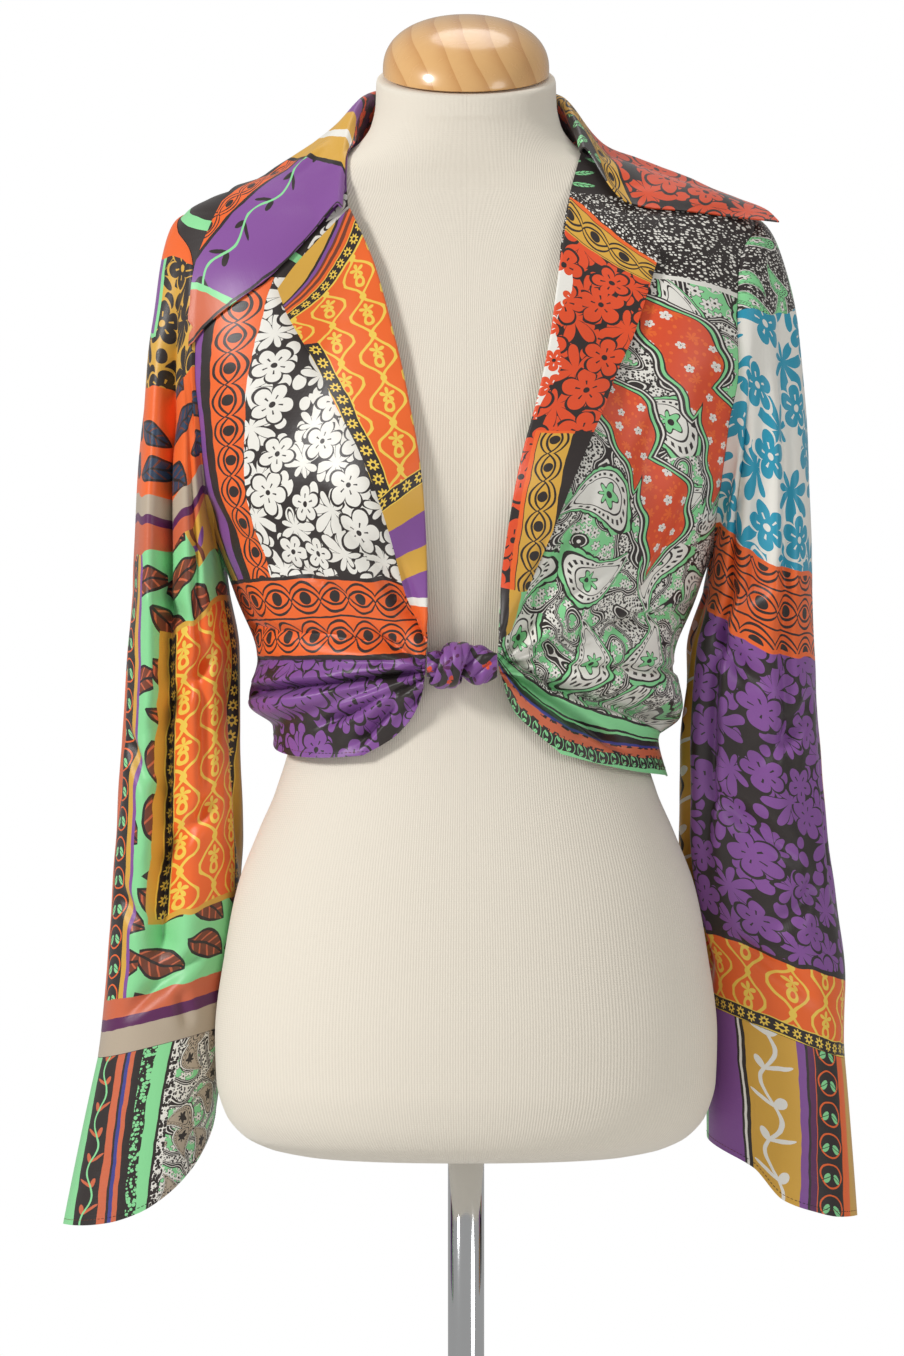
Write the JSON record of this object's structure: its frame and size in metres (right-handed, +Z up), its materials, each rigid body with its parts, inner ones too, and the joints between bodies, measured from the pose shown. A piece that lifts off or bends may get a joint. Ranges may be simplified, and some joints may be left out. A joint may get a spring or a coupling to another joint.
{
  "type": "long-sleeve tie-front blouse on a dress form",
  "caption": "Cropped patchwork-print satin blouse with a deep V, pointed notched collar, knotted front and long open cuffs, worn by a limbless dress form on a pole stand.",
  "frame": {"origin": "on the floor, at the centre of the base's flat underside, under the pole's axis", "axes": "+Z up along the pole, -Y the way the blouse's front faces, +X towards the wearer's left"},
  "size_m": [0.5546, 0.32, 1.3033],
  "materials": {
    "white_floral": "soft satin with a printed patchwork, semi-gloss",
    "green_paisley": "soft satin with a printed patchwork, semi-gloss",
    "dark_paisley": "soft satin with a printed patchwork, semi-gloss",
    "orange_scroll": "soft satin with a printed patchwork, semi-gloss",
    "orange_flowers": "soft satin with a printed patchwork, semi-gloss",
    "leaf_patchwork": "soft satin with a printed patchwork, semi-gloss",
    "purple_floral": "soft satin with a printed patchwork, semi-gloss",
    "mint_stripe": "soft satin with a printed patchwork, semi-gloss",
    "plum_stripe": "soft satin with a printed patchwork, semi-gloss",
    "purple_leaf": "soft satin with a printed patchwork, semi-gloss",
    "purple_roll": "soft satin with a printed patchwork, semi-gloss",
    "cream_jersey": "fine ribbed cotton jersey, matt",
    "pine": "turned and varnished, gloss",
    "chrome": "polished",
    "brushed_steel": "brushed, satin"
  },
  "bodies": {
    "root": {"front_right": "white_floral", "front_left": "green_paisley", "back": "dark_paisley", "lapel_right": "orange_scroll", "lapel_left": "orange_flowers", "sleeve_right": "leaf_patchwork", "sleeve_left": "purple_floral", "cuff_right": "mint_stripe", "cuff_left": "plum_stripe", "collar": "purple_leaf", "tie_roll": "purple_roll", "tie_knot": "purple_roll", "dress_form": "cream_jersey", "neck_cap": "pine", "pole": "chrome", "base": "brushed_steel"}
  },
  "joints": []
}
